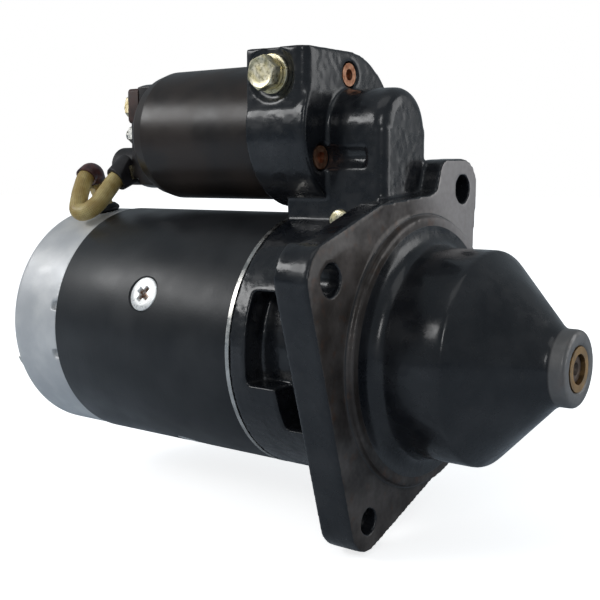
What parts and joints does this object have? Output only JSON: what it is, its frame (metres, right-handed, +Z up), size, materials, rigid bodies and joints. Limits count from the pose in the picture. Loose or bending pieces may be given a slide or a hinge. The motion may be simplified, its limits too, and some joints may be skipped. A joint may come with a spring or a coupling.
{
  "type": "starter motor",
  "caption": "Flange-mounted engine starter: tubular motor with a silver rear cover, a solenoid on top, a three-hole flange and a closed conical snout over a sliding pinion.",
  "frame": {"origin": "on the motor's axis in the plane of the mounting flange's front face", "axes": "+X along the shaft towards the nose, +Z up through the solenoid, +Y towards the ring gear"},
  "size_m": [0.283, 0.1411, 0.2048],
  "materials": {
    "black_casting": "glossy black enamel over a rough casting",
    "black_yoke": "satin black enamel on rolled steel",
    "bare_plate": "machined bright",
    "bronze": "sintered bronze",
    "iron": "plain iron",
    "zinc_screw": "zinc plated",
    "coil_tape": "varnished tape",
    "silver_cover": "turned, grey silver paint",
    "yellow_zinc": "yellow passivated zinc",
    "insulation": "laminated board",
    "carbon": "copper graphite",
    "spring_steel": "drawn wire",
    "rubber_black": "moulded rubber",
    "case_brown_black": "dark brown-black paint",
    "bobbin": "moulded",
    "copper_wire": "enamelled copper",
    "bakelite": "moulded phenolic",
    "stud_brass": "tinned brass",
    "copper_screw": "copper brown passivation",
    "lead_yellow": "varnished glass-fibre sleeve",
    "sleeve_maroon": "shrunk sleeve",
    "ground_steel": "ground",
    "copper_bars": "turned copper",
    "gear_steel": "hardened, oiled"
  },
  "bodies": {
    "casing": {"drive_housing": "black_casting", "centre_plate": "bare_plate", "centre_bush": "bronze", "nose_bush": "bronze", "yoke": "black_yoke", "pole_shoes": "iron", "pole_screws": "zinc_screw", "field_coils": "coil_tape", "rear_cover": "silver_cover", "rear_bush": "bronze", "through_bolts": "yellow_zinc", "through_nuts": "yellow_zinc", "brush_plate": "insulation", "brush_screws": "zinc_screw", "brush_spring_1": "spring_steel", "brush_spring_2": "spring_steel", "brush_spring_3": "spring_steel", "brush_spring_4": "spring_steel", "lead_grommet": "rubber_black", "solenoid_case": "case_brown_black", "solenoid_bobbin": "bobbin", "solenoid_winding": "copper_wire", "solenoid_core": "iron", "solenoid_cap": "bakelite", "solenoid_seal": "rubber_black", "solenoid_screws": "copper_screw", "battery_stud": "stud_brass", "battery_nut": "stud_brass", "motor_stud": "stud_brass", "motor_nut": "stud_brass", "control_stud": "zinc_screw", "control_nut": "zinc_screw", "side_bolt": "yellow_zinc", "side_washers": "yellow_zinc", "lead_lug": "stud_brass", "lead_boot": "rubber_black", "motor_lead": "lead_yellow", "lead_sleeve": "sleeve_maroon", "lever_pin": "ground_steel", "return_spring": "spring_steel", "contact_spring": "spring_steel"},
    "armature": {"armature_shaft": "ground_steel", "armature_core": "iron", "armature_winding": "copper_wire", "commutator": "copper_bars", "stop_collar": "gear_steel"},
    "drive": {"drive_sleeve": "gear_steel", "clutch_shell": "gear_steel", "clutch_rollers": "gear_steel"},
    "pinion": {"pinion": "gear_steel"},
    "lever": {"shift_lever": "gear_steel"},
    "plunger": {"plunger": "ground_steel"},
    "contact": {"contact_rod": "ground_steel", "contact_disc": "copper_bars"},
    "brush_1": {"brush_1": "carbon"},
    "brush_2": {"brush_2": "carbon"},
    "brush_3": {"brush_3": "carbon"},
    "brush_4": {"brush_4": "carbon"}
  },
  "joints": [
    {"name": "armature_spin", "type": "hinge", "parent": "casing", "child": "armature", "pos_m": [0, 0, 0], "axis": [1, 0, 0], "continuous": true},
    {"name": "drive_slide", "type": "slide", "parent": "armature", "child": "drive", "axis": [1, 0, 0], "range_m": [0, 0.02]},
    {"name": "pinion_overrun", "type": "hinge", "parent": "drive", "child": "pinion", "pos_m": [0, 0, 0], "axis": [1, 0, 0], "continuous": true},
    {"name": "lever_swing", "type": "hinge", "parent": "casing", "child": "lever", "pos_m": [-0.031, 0, 0.055], "axis": [0, -1, 0], "range_deg": [0, 20.7]},
    {"name": "plunger_slide", "type": "slide", "parent": "casing", "child": "plunger", "axis": [-1, 0, 0], "range_m": [0, 0.0142], "stiffness_N_per_m": 700, "springref_m": -0.01, "deforming": ["return_spring"]},
    {"name": "contact_slide", "type": "slide", "parent": "casing", "child": "contact", "axis": [-1, 0, 0], "range_m": [0, 0.0032], "stiffness_N_per_m": 400, "deforming": ["contact_spring"]},
    {"name": "brush_1_lift", "type": "slide", "parent": "casing", "child": "brush_1", "axis": [0, -0.9272, 0.3746], "range_m": [0, 0.002], "stiffness_N_per_m": 500, "springref_m": -0.002, "deforming": ["brush_spring_1"]},
    {"name": "brush_2_lift", "type": "slide", "parent": "casing", "child": "brush_2", "axis": [0, -0.3746, -0.9272], "range_m": [0, 0.002], "stiffness_N_per_m": 500, "springref_m": -0.002, "deforming": ["brush_spring_2"]},
    {"name": "brush_3_lift", "type": "slide", "parent": "casing", "child": "brush_3", "axis": [0, 0.9272, -0.3746], "range_m": [0, 0.002], "stiffness_N_per_m": 500, "springref_m": -0.002, "deforming": ["brush_spring_3"]},
    {"name": "brush_4_lift", "type": "slide", "parent": "casing", "child": "brush_4", "axis": [0, 0.3746, 0.9272], "range_m": [0, 0.002], "stiffness_N_per_m": 500, "springref_m": -0.002, "deforming": ["brush_spring_4"]}
  ],
  "couplings": [
    {"joint": "lever_swing", "follows": "drive_slide", "rad_per_m": 17.985},
    {"joint": "plunger_slide", "follows": "drive_slide", "ratio": 0.70909},
    {"joint": "contact_slide", "follows": "drive_slide", "ratio": 0.16}
  ]
}
